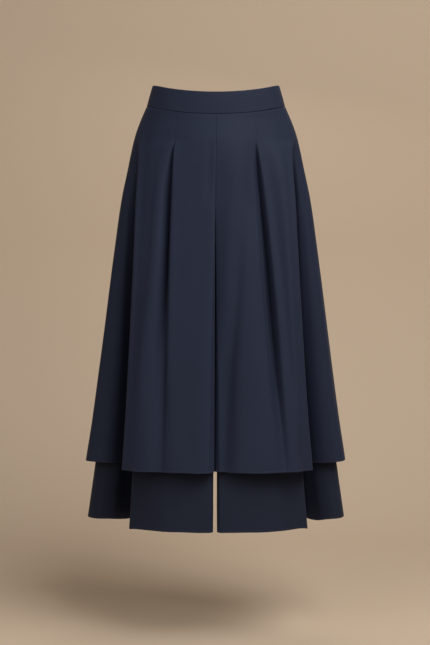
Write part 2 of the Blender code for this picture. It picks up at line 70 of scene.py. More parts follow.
# The body of each layer by height: half width at the sides, then how deep the front and the back are
bodyNames = ("z", "outerSide", "underSide", "outerFront", "underFront", "outerBack", "underBack")
bodyRows = (
    (-21.1, 136.8, 134.8, 92.0, 90.0, 88.0, 83.0),
    (-50.0, 149.8, 146.2, 92.6, 90.0, 95.0, 88.0),
    (-78.0, 160.0, 155.0, 99.0, 90.0, 101.0, 93.0),
    (-105.0, 166.9, 160.8, 107.0, 89.0, 107.0, 98.0),
    (-148.0, 176.0, 168.8, 113.0, 87.0, 114.0, 104.0),
    (-205.0, 188.0, 179.3, 119.0, 84.5, 121.0, 110.0),
    (-305.0, 202.4, 191.8, 131.0, 87.0, 130.0, 117.0),
    (-638.0, 245.9, 229.5, 173.6, 138.0, 162.4, 140.7),
    (-726.2, 259.2, 240.8, 185.0, 152.0, 171.0, 147.0),
    (-838.0, 274.0, 256.8, 199.0, 163.0, 182.0, 155.0),
)

# Stations round a panel from the centre to the side seam: angle at the waist, share of the hip's widening,
# place in the hem on the right and the left leg, depth in the hem, and how far a fold is rounded
stationNames = ("name", "angle", "widen", "hemRight", "hemLeft", "hemY", "round")
stations = {
    "outerFront": (
        ("centre", 0.0, 0.0, 0.0, 0.0, -184.0, 0.0),
        ("inner", 17.0, 0.0, 50.0, 60.0, -181.0, 0.0),
        ("pleat", 34.5, 0.0, 103.0, 129.0, -168.0, 0.0),
        ("outer", 52.0, 0.4, 146.0, 160.0, -153.0, 0.0),
        ("edge", 70.0, 0.75, 176.0, 181.0, -131.0, 9.0),
        ("root", 73.0, 0.8, 172.0, 176.0, 2.0, 8.0),
        ("side", 78.0, 0.88, 203.0, 205.0, -29.0, 0.0),
        ("hip", 84.0, 0.96, 238.0, 238.0, -24.0, 0.0),
        ("seam", 90.0, 1.0, 259.2, 259.2, 20.0, 0.0),
    ),
    "outerBack": (
        ("centre", 0.0, 0.0, 0.0, 0.0, 171.0, 0.0),
        ("inner", 17.0, 0.05, 62.0, 60.0, 169.0, 0.0),
        ("middle", 36.0, 0.2, 118.0, 121.0, 157.0, 0.0),
        ("edge", 68.0, 0.7, 171.0, 174.0, 127.0, 9.0),
        ("root", 72.0, 0.8, 176.0, 178.0, 62.0, 8.0),
        ("side", 78.0, 0.88, 208.0, 208.0, 58.0, 0.0),
        ("hip", 84.0, 0.96, 240.0, 240.0, 45.0, 0.0),
        ("seam", 90.0, 1.0, 259.2, 259.2, 20.0, 0.0),
    ),
    "underFront": (
        ("centre", 0.0, 0.0, 0.0, 0.0, -163.0, 0.0),
        ("inner", 20.0, 0.0, 55.0, 55.0, -161.0, 0.0),
        ("outer", 46.0, 0.3, 118.0, 124.0, -142.0, 0.0),
        ("edge", 70.0, 0.75, 164.0, 173.0, -107.0, 9.0),
        ("root", 73.0, 0.8, 162.0, 167.0, 26.0, 8.0),
        ("side", 78.0, 0.88, 208.0, 210.0, -12.0, 0.0),
        ("hip", 84.0, 0.96, 236.0, 238.0, -10.0, 0.0),
        ("seam", 90.0, 1.0, 256.8, 256.8, 19.0, 0.0),
    ),
    "underBack": (
        ("centre", 0.0, 0.0, 0.0, 0.0, 154.0, 0.0),
        ("inner", 20.0, 0.05, 60.0, 60.0, 151.0, 0.0),
        ("middle", 40.0, 0.25, 114.0, 114.0, 138.0, 0.0),
        ("edge", 68.0, 0.7, 158.0, 160.0, 108.0, 9.0),
        ("root", 72.0, 0.8, 164.0, 165.0, 46.0, 8.0),
        ("side", 78.0, 0.88, 203.0, 203.0, 43.0, 0.0),
        ("hip", 84.0, 0.96, 237.0, 237.0, 36.0, 0.0),
        ("seam", 90.0, 1.0, 256.8, 256.8, 19.0, 0.0),
    ),
}
release = {"pleat": -105.0, "other": -98.0}          # from here down a station moves to its place in the hem
releasePower = {"pleat": {right: 0.36, left: 0.88}, "other": {right: 0.62, left: 0.45}}

# Inverted pleat: halves of its section in half widths and shares of the depth, then its size by height
halfPleat = {
    "crisp": ((0.22, 0.84), (0.56, 0.38), (0.86, 0.07), (1.15, -0.04), (1.5, -0.06), (2.6, 0.0)),
    "soft": ((0.46, 0.86), (0.95, 0.56), (1.45, 0.25), (1.95, 0.07), (2.8, 0.0)),
}
pleatNames = ("z", "halfWidth", "depthRight", "depthLeft")
pleatRows = (
    (-20.0, 1.0, 0.3, 0.3),
    (-98.0, 1.1, 0.4, 0.4),
    (-108.0, 1.5, 2.6, 0.8),
    (-120.0, 2.4, 6.5, 4.5),
    (-158.0, 5.0, 13.0, 12.5),
    (-228.0, 7.0, 19.0, 18.0),
    (-328.0, 8.0, 22.0, 22.0),
    (-428.0, 8.8, 18.0, 23.0),
    (-528.0, 9.2, 10.0, 19.0),
    (-628.0, 9.6, 4.0, 9.0),
    (-726.2, 10.0, 1.0, 3.0),
)

# The left leg's front rolls down to the centre line, and the right leg's edge stands over it: how deep, and
# how far out from the centre the roll reaches on each leg
dipNames = ("z", "right", "left", "reachRight", "reachLeft")
dipRows = (
    (-90.0, 0.0, 0.0, 3.0, 12.0),
    (-150.0, 1.6, 1.6, 3.0, 16.0),
    (-190.0, 3.6, 3.6, 3.0, 18.0),
    (-223.0, 4.8, 4.8, 3.0, 18.0),
    (-260.0, 2.0, 7.5, 3.5, 18.0),
    (-330.0, 2.0, 13.0, 6.0, 21.0),
    (-450.0, 5.0, 20.0, 9.0, 27.0),
    (-600.0, 7.0, 24.0, 12.0, 30.0),
    (-726.2, 8.0, 24.0, 13.0, 32.0),
    (-838.0, 8.0, 24.0, 13.0, 32.0),
)

# Soft ridges (height over 0) and troughs (under 0). On the face, place is the distance from the middle plane,
# and on the side it is per cent of the way from the fold's root to the side seam.
creaseNames = ("z", "place", "height", "width")
creases = {
    ("outerFront", right): {
        "face": (
            ((-150, 106, 0.0, 8), (-230, 108, 2.5, 12), (-320, 112, 4.0, 15), (-408, 122, 5.0, 17),
             (-508, 136, 4.0, 18), (-608, 144, 2.5, 20), (-728, 146, 1.0, 22)),
            ((-440, 104, 0.0, 10), (-520, 104, -2.4, 12), (-608, 104, -3.6, 14), (-728, 104, -2.2, 16)),
            ((-90, 12, 0.0, 5), (-130, 12, -2.0, 6), (-180, 12, -2.4, 7), (-240, 13, 0.0, 7)),
            ((-260, 44, 0.0, 18), (-400, 46, -1.1, 20), (-560, 50, -1.4, 22), (-728, 54, -0.4, 24)),
            ((-330, 74, 0.0, 10), (-470, 76, 0.9, 13), (-620, 78, 0.8, 15), (-728, 78, 0.3, 16)),
            ((-120, 138, 0.0, 8), (-230, 146, -1.0, 9), (-340, 150, 0.0, 10)),
        ),
        "side": (
            ((-130, 24, 0.0, 11), (-220, 20, -2.0, 13), (-400, 18, -3.0, 14), (-728, 20, -3.0, 15)),
            ((-240, 66, 0.0, 12), (-420, 70, 3.0, 14), (-728, 72, 4.5, 16)),
        ),
    },
    ("outerFront", left): {
        "face": (
            ((-150, 74, 0.0, 7), (-230, 76, 2.0, 9), (-330, 77, 3.0, 10), (-430, 75, 2.5, 12),
             (-560, 72, 1.0, 14), (-700, 72, 0.0, 14)),
            ((-180, 50, 0.0, 10), (-260, 46, -3.0, 12), (-330, 42, -6.0, 14), (-400, 37, -8.5, 14),
             (-480, 28, -9.0, 15), (-563, 20, -8.0, 15), (-728, 14, -4.0, 14)),
            ((-380, 142, 0.0, 9), (-500, 146, 1.2, 10), (-640, 150, 0.9, 12), (-728, 152, 0.4, 12)),
            ((-430, 92, 0.0, 12), (-560, 94, 1.0, 15), (-728, 98, 0.6, 18)),
            ((-130, 140, 0.0, 8), (-240, 150, -1.2, 10), (-360, 158, 0.0, 10)),
        ),
        "side": (
            ((-180, 30, 0.0, 9), (-300, 28, -2.0, 11), (-480, 26, -3.0, 12), (-728, 26, -3.0, 13)),
            ((-260, 62, 0.0, 12), (-440, 64, 3.0, 14), (-728, 66, 4.0, 16)),
        ),
    },
    ("outerBack", right): {
        "face": (
            ((-150, 40, 0.0, 12), (-260, 42, -1.3, 15), (-420, 44, -1.8, 18), (-728, 48, -1.0, 22)),
            ((-220, 84, 0.0, 12), (-400, 92, 1.6, 15), (-728, 96, 1.2, 20)),
            ((-180, 122, 0.0, 9), (-330, 130, -1.5, 12), (-520, 138, -1.2, 14), (-680, 142, 0.0, 16)),
        ),
        "side": (
            ((-200, 50, 0.0, 9), (-380, 48, -1.6, 12), (-728, 50, -1.2, 14)),
        ),
    },
    ("outerBack", left): {
        "face": (
            ((-160, 46, 0.0, 12), (-300, 42, -1.6, 14), (-470, 40, -1.2, 18), (-728, 40, -0.6, 22)),
            ((-200, 78, 0.0, 10), (-350, 88, 1.3, 14), (-560, 90, 1.8, 18), (-728, 92, 1.4, 20)),
            ((-240, 130, 0.0, 9), (-420, 136, -1.4, 12), (-728, 140, -0.8, 16)),
        ),
        "side": (
            ((-170, 54, 0.0, 9), (-420, 52, -1.8, 12), (-728, 48, -1.4, 14)),
        ),
    },
    ("underFront", right): {
        "face": (
            ((-640, 40, 0.0, 14), (-760, 44, -1.2, 16), (-842, 46, -1.0, 16)),
            ((-620, 96, 0.0, 12), (-740, 98, 1.2, 14), (-842, 100, 1.0, 16)),
        ),
        "side": (
            ((-600, 22, 0.0, 9), (-740, 22, -2.0, 12), (-842, 24, -3.0, 13)),
            ((-600, 66, 0.0, 12), (-842, 66, 3.0, 15)),
        ),
    },
    ("underFront", left): {
        "face": (
            ((-640, 52, 0.0, 14), (-760, 50, -1.4, 16), (-842, 48, -1.2, 16)),
            ((-600, 104, 0.0, 12), (-740, 106, 1.3, 14), (-842, 108, 1.0, 16)),
        ),
        "side": (
            ((-600, 30, 0.0, 9), (-740, 30, -2.0, 11), (-842, 30, -3.0, 12)),
            ((-600, 68, 0.0, 12), (-842, 68, 3.0, 15)),
        ),
    },
    ("underBack", right): {
        "face": (((-600, 60, 0.0, 14), (-740, 64, -1.4, 16), (-842, 66, -1.2, 18)),),
        "side": (((-600, 50, 0.0, 9), (-842, 50, -1.4, 12)),),
    },
    ("underBack", left): {
        "face": (((-600, 70, 0.0, 14), (-740, 72, -1.2, 16), (-842, 76, -1.4, 18)),),
        "side": (((-600, 50, 0.0, 9), (-842, 48, -1.2, 12)),),
    },
}
# Slow waves over the whole panel: height, length round the panel, length down it, phase
sway = ((0.35, 118.0, 900.0, 0.1), (0.25, 71.0, -640.0, 0.45), (0.12, 43.0, 420.0, 0.7))

cloth = {
    "wall": 1.1,
    "hemWall": 1.9,
    "hemTurn": 5.0,            # the turned-up hem ends here
    "stitchLine": 4.6,         # and is stitched here, above the edge
    "stitchGroove": 0.22,
    "hemPuff": 0.12,
    "seamRoll": {"side": 0.35, "top": 0.35, "centre": 0.2},    # how far a seam lies in
    "seamRollWidth": 2.0,
    "seamRidge": 0.22,         # the waist seam's allowances, showing through
    "hemWander": 0.5,          # how uneven a hem is
    "hemDrop": 4.8,            # how much lower the under hem hangs beside its folds
    "hemDropPlace": {right: 178, left: 192},
    "hemDropHalf": 22,
    "hemLift": 2.4,            # how much higher the outer hem is at the side seams
    "hemLiftFrom": 205,        # where that starts across the panel
    "hemLiftOver": 45,
    "hemReach": 160,           # how far up the cloth follows its hem
    "wanderReach": 70,
    "wanderWaves": (143, 57),
    "slope": 1.02,             # the cut is so much longer than the straight drop
    "columnPitch": 4.5,
    "foldPitch": 2.4,
    "pleatPitch": 1.7,
    "rowPitch": 6.5,
    "edgeSteps": (0.3, 0.8, 1.6, 3.0),
    "hemSteps": (10.0, 7.0, 5.6, 5.0, 4.6, 4.2, 3.4, 2.2, 1.2, 0.6, 0.25, 0.0),
    "cornerColumns": 6,
    "faceColumns": 18,
}


# Tables as smooth curves

def between(t, a, b, length, leave, arrive):
    # a smooth curve, a share t of the way from a to b, with its slopes at both ends
    return (
        (1 + 2 * t) * (1 - t) ** 2 * a
        + t * (1 - t) ** 2 * length * leave
        + t * t * (3 - 2 * t) * b
        + t * t * (t - 1) * length * arrive
    )


def curveThrough(rows, names, key, z):
    # the column named key at heights z; the curve never overshoots the rows
    table = np.array(rows, float)[::-1]
    x, y = table[:, 0], table[:, names.index(key)]
    step = np.diff(x)
    slope = np.diff(y) / step
    tangent = np.concatenate([[slope[0]], np.zeros(len(slope) - 1), [slope[-1]]])
    same = slope[:-1] * slope[1:] > 0
    tangent[1:-1][same] = 2 * slope[:-1][same] * slope[1:][same] / (slope[:-1] + slope[1:])[same]
    z = np.clip(np.asarray(z, float), x[0], x[-1])
    at = np.clip(np.searchsorted(x, z, side="right") - 1, 0, len(step) - 1)
    t = (z - x[at]) / step[at]
    return between(t, y[at], y[at + 1], step[at], tangent[at], tangent[at + 1])


def ease(x):
    x = np.clip(x, 0.0, 1.0)
    return x * x * (3 - 2 * x)


def roundedEdge(distance, radius):
    # how far a face sinks this close to its rounded edge
    inside = np.clip(radius - distance, 0.0, radius)
    return radius - np.sqrt(np.maximum(radius**2 - inside**2, 0.0))


def unit(vectors):
    return vectors / np.maximum(np.linalg.norm(vectors, axis=-1, keepdims=True), 1e-9)


# The garment's section at any height

def seamHeight(panel, angle):
    dip = garment["frontDip"] if panel == "front" else 0.0
    return garment["waistSeam"] - dip * np.maximum(np.cos(np.radians(angle)), 0.0) ** garment["dipPower"]


def legShare(layer, panel, z):
    start = garment["legFrom"][layer][panel]
    return np.clip((start - z) / (start - garment["hem"][layer]), 0.0, 1.0)


def faceGap(layer, side, share):
    # half of what parts the legs
    clear = garment["legClear"][layer]
    opened = clear * np.minimum(share / garment["clearBy"], 1.0)
    parted = (garment["legHem"][layer][side] - clear) * share ** garment["legPower"][layer]
    return opened + parted


def centreAcross(layer, panel, side, z):
    share = legShare(layer, panel, z)
    gap = faceGap(layer, side, share) + garment["corner"] * share ** garment["cornerPower"]
    if panel == "back":
        gap = np.where(z > garment["zipEnd"], garment["halfZipGap"], gap)
    return gap


def stationPlace(layer, panel, side, station, z):
    row = dict(zip(stationNames, station))
    facing = -1 if panel == "front" else 1
    turn = math.radians(row["angle"])

    def onBody(z):
        top = bodyRows[0][bodyNames.index(layer + "Side")]
        half = curveThrough(bodyRows, bodyNames, layer + "Side", z)
        depth = curveThrough(bodyRows, bodyNames, layer + panel.capitalize(), z)
        across = top * math.sin(turn) + row["widen"] * (half - top)
        return np.stack([across, facing * depth * math.cos(turn)], axis=-1)

    place = onBody(z)
    hem = garment["hem"][layer]
    atHem = onBody(np.array([hem]))[0]
    kind = "pleat" if row["name"] == "pleat" else "other"
    gone = np.clip((release[kind] - z) / (release[kind] - hem), 0.0, 1.0)
    soft = garment["soften"]
    share = (gone * gone * (1 + soft) / (gone + soft)) ** releasePower[kind][side]
    if row["name"] == "seam":
        share = (garment["waistSeam"] - z) / (garment["waistSeam"] - hem)
    early = garment["early"].get(row["name"], 1.0) if (layer, panel) == ("outer", "front") else 1.0
    place[..., 1] += (1 - (1 - share) ** early) * (row["hemY"] - atHem[1])
    if row["name"] == "centre":
        place[..., 0] = centreAcross(layer, panel, side, z)
    else:
        place[..., 0] += share * (row["hem" + sideWord[side].capitalize()] - atHem[0])
    return place


def sectionPoints(layer, panel, side, z):
    # all points of the section at heights z, folds rounded and the pleat put in, with each one's column pitch
    rows = stations[layer + panel.capitalize()]
    places = [stationPlace(layer, panel, side, row, z) for row in rows]
    points, pitch, marks = [], [], {}
    outward = 1 if panel == "front" else -1
    for i, station in enumerate(rows):
        name, rounding = station[0], station[-1]
        marks[name] = len(points)
        if name == "pleat":
            along = unit(places[i + 1] - places[i - 1])
            inward = np.stack([-along[..., 1], along[..., 0]], axis=-1) * outward
            half = curveThrough(pleatRows, pleatNames, "halfWidth", z)[..., None]
            depth = curveThrough(pleatRows, pleatNames, "depth" + sideWord[side].capitalize(), z)[..., None]
            inner, outer = ("crisp", "soft") if side == right else ("soft", "crisp")
            section = [(-a, d) for a, d in halfPleat[inner][::-1]] + [(0.0, 1.0)] + list(halfPleat[outer])
            marks[name] += len(halfPleat[inner])
            for a, d in section:
                points.append(places[i] + along * a * half + inward * d * depth)
                pitch.append(cloth["pleatPitch"])
            pitch[-1] = cloth["columnPitch"]
        elif rounding:
            for to in (places[i - 1] - places[i], None, places[i + 1] - places[i]):
                move = 0.0
                if to is not None:
                    length = np.linalg.norm(to, axis=-1, keepdims=True)
                    move = unit(to) * np.minimum(rounding, 0.3 * length)
                points.append(places[i] + move)
                pitch.append(cloth["foldPitch"])
            pitch[-1] = cloth["columnPitch"]
        else:
            points.append(places[i])
            pitch.append(cloth["columnPitch"])
    return np.array(points), pitch, marks


def sectionAt(points, k, t, facing):
    # points (point, row, column, 2) read as a smooth curve, for each column a share t after point k
    last = len(points) - 1
    column = np.arange(len(k))

    def pick(i):
        return points[np.clip(i, 0, last), :, column, :]

    def tangentAt(i):
        into, out = pick(i) - pick(i - 1), pick(i + 1) - pick(i)
        a = np.linalg.norm(into, axis=-1, keepdims=True)
        b = np.linalg.norm(out, axis=-1, keepdims=True)
        tangent = unit(unit(into) * b + unit(out) * a)
        tangent[i == 0] = (1.0, 0.0)
        tangent[i == last] = (0.0, -facing)
        return tangent

    a, b = pick(k), pick(k + 1)
    length = np.linalg.norm(b - a, axis=-1, keepdims=True)
    curve = between(t[:, None, None], a, b, length, tangentAt(k), tangentAt(k + 1))
    return curve.transpose(1, 0, 2)


# One panel as a grid: columns from the side seam to the centre and on round the leg's inner face

def columnPlan(layer, panel, side):
    heights = np.array([[z] for z in (garment["waistSeam"], -107.0, -230.0, -330.0, garment["hem"][layer])])
    points, pitch, marks = sectionPoints(layer, panel, side, heights)
    lengths = np.linalg.norm(np.diff(points[:, :, 0], axis=0), axis=-1)
    longest, atHem = lengths.max(axis=1), lengths[:, -1]
    plan = []
    for k, length in enumerate(longest):
        steps = max(1, round(length / pitch[k]))
        plan += [(k, i / steps) for i in range(steps)]
    last = len(longest) - 1
    near = cloth["edgeSteps"]
    plan = [(k, t) for k, t in plan if not (k == 0 and 0 < t * atHem[0] < near[-1] + 1)]
    plan = [(k, t) for k, t in plan if not (k == last and (1 - t) * atHem[last] < near[-1] + 1)]
    plan += [(0, d / atHem[0]) for d in near] + [(last, 1 - d / atHem[last]) for d in near] + [(last, 1.0)]
    plan.sort(reverse=True)
    k, t = np.array([row[0] for row in plan]), np.array([row[1] for row in plan])
    return k, t, marks


def innerPlan(reach):
    # columns of the inner face: angle along the crotch seam, corner left across, corner gone in depth, and
    # the way to the inseam
    plan = []
    for i in range(1, cloth["cornerColumns"] + 1):
        turn = math.pi / 2 * i / cloth["cornerColumns"]
        down = garment["cornerTurn"] * i / cloth["cornerColumns"]
        plan.append((down, 1 - math.sin(turn), 1 - math.cos(turn), 0.0))
    ways = [i / cloth["faceColumns"] for i in range(1, cloth["faceColumns"])]
    ways += [1 - d / reach for d in cloth["edgeSteps"]] + [1.0]
    for way in sorted(ways):
        plan.append((garment["cornerTurn"] + (90 - garment["cornerTurn"]) * way, 0.0, 1.0, way))
    return np.array(plan).T


def rowShares(length, nearEnd):
    count = round(length / cloth["rowPitch"])
    even = [i / count for i in range(1, count + 1)]
    fine = [d / length for d in cloth["edgeSteps"]] if nearEnd else []
    return np.array([0.0] + fine + [s for s in even if s > (fine[-1] + 2.0 / length if fine else 0)])


def rowFrame(points, facing, lastNormal):
    # level normals, and how far along its row each point lies, for one block of rows
    step = np.diff(points[:, :, :2], axis=1)
    length = np.linalg.norm(np.diff(points, axis=1), axis=-1)
    flow = unit(step)
    outward = np.stack([flow[..., 1], -flow[..., 0]], axis=-1) * facing
    normal = np.empty(points.shape[:2] + (2,))
    weightA, weightB = 1 / length[:, :-1, None], 1 / length[:, 1:, None]
    normal[:, 1:-1] = unit(outward[:, :-1] * weightA + outward[:, 1:] * weightB)
    normal[:, 0] = (1.0, 0.0)
    normal[:, -1] = lastNormal
    along = np.concatenate([np.zeros((len(points), 1)), np.cumsum(length, axis=1)], axis=1)
    return normal, along


def centreDip(side, z, across):
    reach = curveThrough(dipRows, dipNames, "reach" + sideWord[side].capitalize(), z)
    near = np.exp(-((np.maximum(across, 0) / reach) ** 1.5))
    return curveThrough(dipRows, dipNames, sideWord[side], z) * near


def panelGrid(layer, panel, side):
    facing = -1 if panel == "front" else 1
    start, hem = garment["legFrom"][layer][panel], garment["hem"][layer]
    k, t, marks = columnPlan(layer, panel, side)
    level = np.full((1, len(k)), garment["waistSeam"])
    waist = sectionAt(sectionPoints(layer, panel, side, level)[0], k, t, facing)[0]
    half = bodyRows[0][bodyNames.index(layer + "Side")]
    depth = bodyRows[0][bodyNames.index(layer + panel.capitalize())]
    angle = np.degrees(np.arctan2(waist[:, 0] / half, np.abs(waist[:, 1]) / depth))
    top = seamHeight(panel, angle) - garment["seamGap"]
    upper = rowShares(garment["waistSeam"] - start, True)
    lower = rowShares(start - hem, True)
    rise = np.array(cloth["hemSteps"])
    z = np.concatenate([
        top + (start - top) * upper[:, None],
        start + (hem + rise[0] - start) * np.repeat(lower[1:, None], len(k), axis=1),
        hem + np.repeat(rise[1:, None], len(k), axis=1),
    ])
    place = sectionAt(sectionPoints(layer, panel, side, z)[0], k, t, facing)
    main = np.dstack([place, z])

    # the inner face hangs from the crotch seam
    first = len(upper) - 1
    front = main[first:, -1]
    share = ((start - front[:, 2]) / (start - hem))[:, None]
    inseam = garment["inseam"]
    reachTop, reachHem = abs(front[0, 1] - inseam), abs(front[-1, 1] - inseam)
    turn, across, gone, way = innerPlan(reachHem)
    turn = np.radians(turn)
    zTop = start + (garment["crotch"][layer] - start) * np.sin(turn)
    zInner = np.concatenate([
        zTop + (hem + rise[0] - zTop) * lower[:, None],
        hem + np.repeat(rise[1:, None], len(turn), axis=1),
    ])
    depthTop = reachTop * (1 - np.cos(turn))
    depthHem = garment["corner"] * gone + (reachHem - garment["corner"]) * way
    y = front[:, 1:2] - facing * (depthTop + (depthHem - depthTop) * share)
    atInseam = front[:, 1:2] - facing * (reachTop + (reachHem - reachTop) * share)
    y += (inseam - atInseam) * way**2
    x = faceGap(layer, side, share) + garment["corner"] * across * share ** garment["cornerPower"]
    opened = np.minimum(share / garment["clearBy"], 1.0)
    x = x + side * garment["legSway"][layer] * np.sin(math.pi * way) * opened
    inner = np.dstack([x, y, zInner])
    if (layer, panel) == ("outer", "front"):
        main[..., 1] += centreDip(side, z, main[..., 0])
        inner[..., 1] += centreDip(side, front[:, 2:3], 0.0 * way) * (1 - way)

    rows, mains, columns = len(z), len(k), len(k) + len(turn)
    grid = np.zeros((rows, columns, 3))
    grid[:, :mains] = main
    grid[first:, mains:] = inner
    present = np.ones((rows, columns), bool)
    present[:first, mains:] = False

    normal, along = np.zeros((rows, columns, 2)), np.zeros((rows, columns))
    normal[:first, :mains], along[:first, :mains] = rowFrame(grid[:first, :mains], facing, (0.0, facing))
    normal[first:], along[first:] = rowFrame(grid[first:], facing, (-1.0, 0.0))
    far = 1000.0
    edges = {
        "side": along.copy(),
        "top": np.full((rows, columns), far),
        "centre": np.full((rows, columns), far),
        "hem": grid[..., 2] - hem,
    }
    edges["top"][:, :mains] = top - z
    edges["top"][first:, mains:] = zTop - zInner
    edges["centre"][:first, :mains] = along[:first, mains - 1 : mains] - along[:first, :mains]
    edges["centre"][first:] = along[first:, -1:] - along[first:]
    fromCentre = along[:, mains - 1 : mains] - along
    return {
        "layer": layer, "panel": panel, "side": side, "facing": facing, "marks": marks, "k": k, "t": t,
        "grid": grid, "normal": normal, "along": fromCentre, "present": present, "edges": edges,
        "first": first, "mains": mains,
    }


def creaseLift(place, z, rowsList):
    lift = np.zeros(z.shape)
    for rows in rowsList:
        middle = curveThrough(rows, creaseNames, "place", z)
        above, below = (curveThrough(rows, creaseNames, "place", z + step) for step in (1, -1))
        lean = (above - below) / 2
        offset = (place - middle) / np.sqrt(1 + lean**2)
        height = curveThrough(rows, creaseNames, "height", z)
        width = curveThrough(rows, creaseNames, "width", z)
        inside = (z <= rows[0][0]) & ((z >= rows[-1][0]) | (rows[-1][2] != 0))
        lift += np.where(inside, height * np.exp(-((offset / width) ** 2)), 0.0)
    return lift


def clothRelief(made):
    # how far each point moves out with its creases, its seams and its hem
    grid, edges, marks = made["grid"], made["edges"], made["marks"]
    mains = made["mains"]
    z = grid[..., 2]
    place = np.full(z.shape, -1.0)
    place[:, :mains] = made["k"] + made["t"]
    key = (made["layer"] + made["panel"].capitalize(), made["side"])
    onFace = np.clip((marks["edge"] + 0.6 - place) / 1.5, 0.0, 1.0) * (place >= 0)
    root = marks["root"] + 2
    onSide = np.clip(place - root + 1, 0.0, 1.0)
    order = (made["k"] + made["t"])[::-1]
    rootAlong = np.array([np.interp(root, order, row[:mains][::-1]) for row in made["along"]])
    span = np.maximum(made["along"][:, :1] - rootAlong[:, None], 1.0)
    sidePlace = (made["along"] - rootAlong[:, None]) / span * 100
    lift = onFace * creaseLift(grid[..., 0], z, creases[key]["face"])
    lift += onSide * creaseLift(sidePlace, z, creases[key]["side"])
    for height, round_, down, phase in sway:
        shift = 0.3 * made["facing"] + 0.17 * made["side"]
        wave = np.sin(fullTurn * (made["along"] / round_ + z / down + phase + shift))
        lift += height * wave * ease(-z / 300)
    lift *= ease(edges["side"] / 18) * ease(edges["top"] / 25) * ease(np.maximum(made["along"], 0) / 9)
    roll = np.zeros(z.shape)
    for name, depth in cloth["seamRoll"].items():
        roll = np.maximum(roll, depth * (1 - ease(edges[name] / cloth["seamRollWidth"])))
    lift -= roll
    lift += cloth["seamRidge"] * np.exp(-(((edges["top"] - 4.5) / 2.4) ** 2)) * (place >= 0)
    above = edges["hem"]
    outerOnly = cloth["hemPuff"] * np.exp(-(((above - 2.2) / 1.3) ** 2))
    outerOnly -= cloth["stitchGroove"] * np.exp(-(((above - cloth["stitchLine"]) / 0.35) ** 2))
    wall = np.where(above < cloth["hemTurn"] + 0.1, cloth["hemWall"], cloth["wall"])
    nearest = np.minimum(np.minimum(edges["side"], edges["top"]), np.minimum(edges["centre"], above))
    rounding = roundedEdge(nearest, wall / 2)
    return lift + outerOnly - rounding, lift - wall + rounding


def hemWander(made):
    # a hem isn't ruler straight
    above, along, across = made["edges"]["hem"], made["along"], made["grid"][..., 0]
    far, near = cloth["wanderWaves"]
    wave = np.sin(fullTurn * (along / far + 0.21 * made["side"]))
    wave += 0.5 * np.sin(fullTurn * (along / near + 0.4))
    fade = ease(made["edges"]["side"] / 25) * ease(np.maximum(along, 0) / 25)
    wander = cloth["hemWander"] * wave * fade * (1 - ease(above / cloth["wanderReach"])) / 1.5
    low = 1 - ease(above / cloth["hemReach"])
    if (made["layer"], made["panel"]) == ("under", "front"):
        beside = np.exp(-(((across - cloth["hemDropPlace"][made["side"]]) / cloth["hemDropHalf"]) ** 2))
        wander -= cloth["hemDrop"] * beside * low
    if (made["layer"], made["panel"]) == ("outer", "front"):
        wander += cloth["hemLift"] * ease((across - cloth["hemLiftFrom"]) / cloth["hemLiftOver"]) * low
    return wander


def newObject(name, mesh, material):
    obj = bpy.data.objects.new(name, mesh)
    bpy.context.collection.objects.link(obj)
    obj.data.materials.append(material)
    return obj


def wallMesh(name, outer, inner, present, edge, flip, cut, paintedHighlight, material):
    # a closed wall: two sheets of one grid that meet in its edge
    outerIndex = np.full(present.shape, -1)
    outerIndex[present] = np.arange(present.sum())
    innerIndex = np.where(edge, outerIndex, -1)
    free = present & ~edge
    innerIndex[free] = present.sum() + np.arange(free.sum())
    points = np.concatenate([outer[present], inner[free]]) * mm
    quads = []
    whole = present[:-1, :-1] & present[:-1, 1:] & present[1:, 1:] & present[1:, :-1]
    for index, turned in ((outerIndex, flip), (innerIndex, not flip)):
        corners = [index[:-1, :-1][whole], index[:-1, 1:][whole], index[1:, 1:][whole], index[1:, :-1][whole]]
        quads.append(np.stack(corners[::-1] if turned else corners, axis=-1))
    quads = np.concatenate(quads)
    mesh = bpy.data.meshes.new(name)
    mesh.vertices.add(len(points))
    mesh.vertices.foreach_set("co", points.astype(np.float32).ravel())
    mesh.loops.add(quads.size)
    mesh.loops.foreach_set("vertex_index", quads.ravel().astype(np.int32))
    mesh.polygons.add(len(quads))
    mesh.polygons.foreach_set("loop_start", np.arange(0, quads.size, 4, dtype=np.int32))
    uv = np.concatenate([cut[present], cut[free]]) * mm
    layer = mesh.uv_layers.new(name="cut")
    layer.data.foreach_set("uv", uv[quads.ravel()].astype(np.float32).ravel())
    mesh.update(calc_edges=True)
    # the painted highlight's mask, kept on the mesh for the material
    attribute = mesh.attributes.new("paintedHighlight", "FLOAT", "POINT")
    attribute.data.foreach_set("value", np.concatenate([paintedHighlight[present], paintedHighlight[free]]).astype(np.float32))
    mesh.shade_smooth()
    mesh.validate()
    return newObject(name, mesh, material)


def rimOf(shape):
    # the outermost rows and columns of a grid
    rim = np.zeros(shape, bool)
    rim[0] = rim[-1] = True
    rim[:, 0] = rim[:, -1] = True
    return rim


def level3(normal):
    return np.dstack([normal, np.zeros(normal.shape[:2])])


